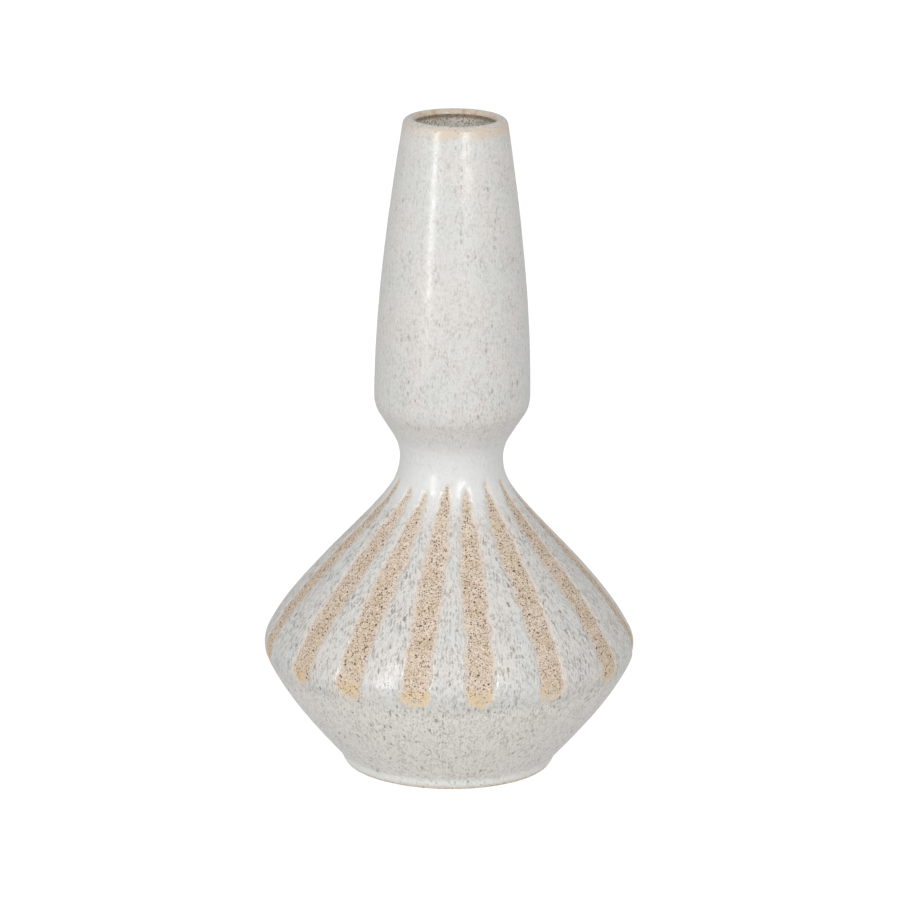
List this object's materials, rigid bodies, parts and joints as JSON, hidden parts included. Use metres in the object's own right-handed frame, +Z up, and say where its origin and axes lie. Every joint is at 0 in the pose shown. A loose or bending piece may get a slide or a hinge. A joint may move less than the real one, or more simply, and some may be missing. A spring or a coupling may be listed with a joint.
{
  "type": "stoneware vase",
  "caption": "Free-standing stoneware vase: wide double-cone belly, pinched waist and tall tapering neck, in speckled pale glaze with bare clay stripes down the shoulder.",
  "frame": {"origin": "centre of the foot, on the plane that the vase stands on", "axes": "+Z up along the vase's axis through the mouth; -Y is the front; +X is to the right seen from the front"},
  "size_m": [0.169, 0.169, 0.3],
  "materials": {
    "bare_clay": "matt, sandy and unglazed, with dark iron specks",
    "joint_slip": "matt fired slip, sealed inside the joints",
    "white_glaze": "satin gloss, warm off-white with grey-brown flecks",
    "lip_glaze": "thin satin glaze over the edge, showing the tan clay",
    "liner_glaze": "satin gloss grey liner with fine specks"
  },
  "bodies": {
    "root": {"foot_ring": "bare_clay", "base_section": "bare_clay", "shoulder_section": "bare_clay", "neck_section": "bare_clay", "foot_joint_slip": "joint_slip", "belly_joint_slip": "joint_slip", "waist_joint_slip": "joint_slip", "base_glaze": "white_glaze", "shoulder_glaze": "white_glaze", "neck_glaze": "white_glaze", "lip_glaze": "lip_glaze", "liner_glaze": "liner_glaze"}
  },
  "joints": []
}
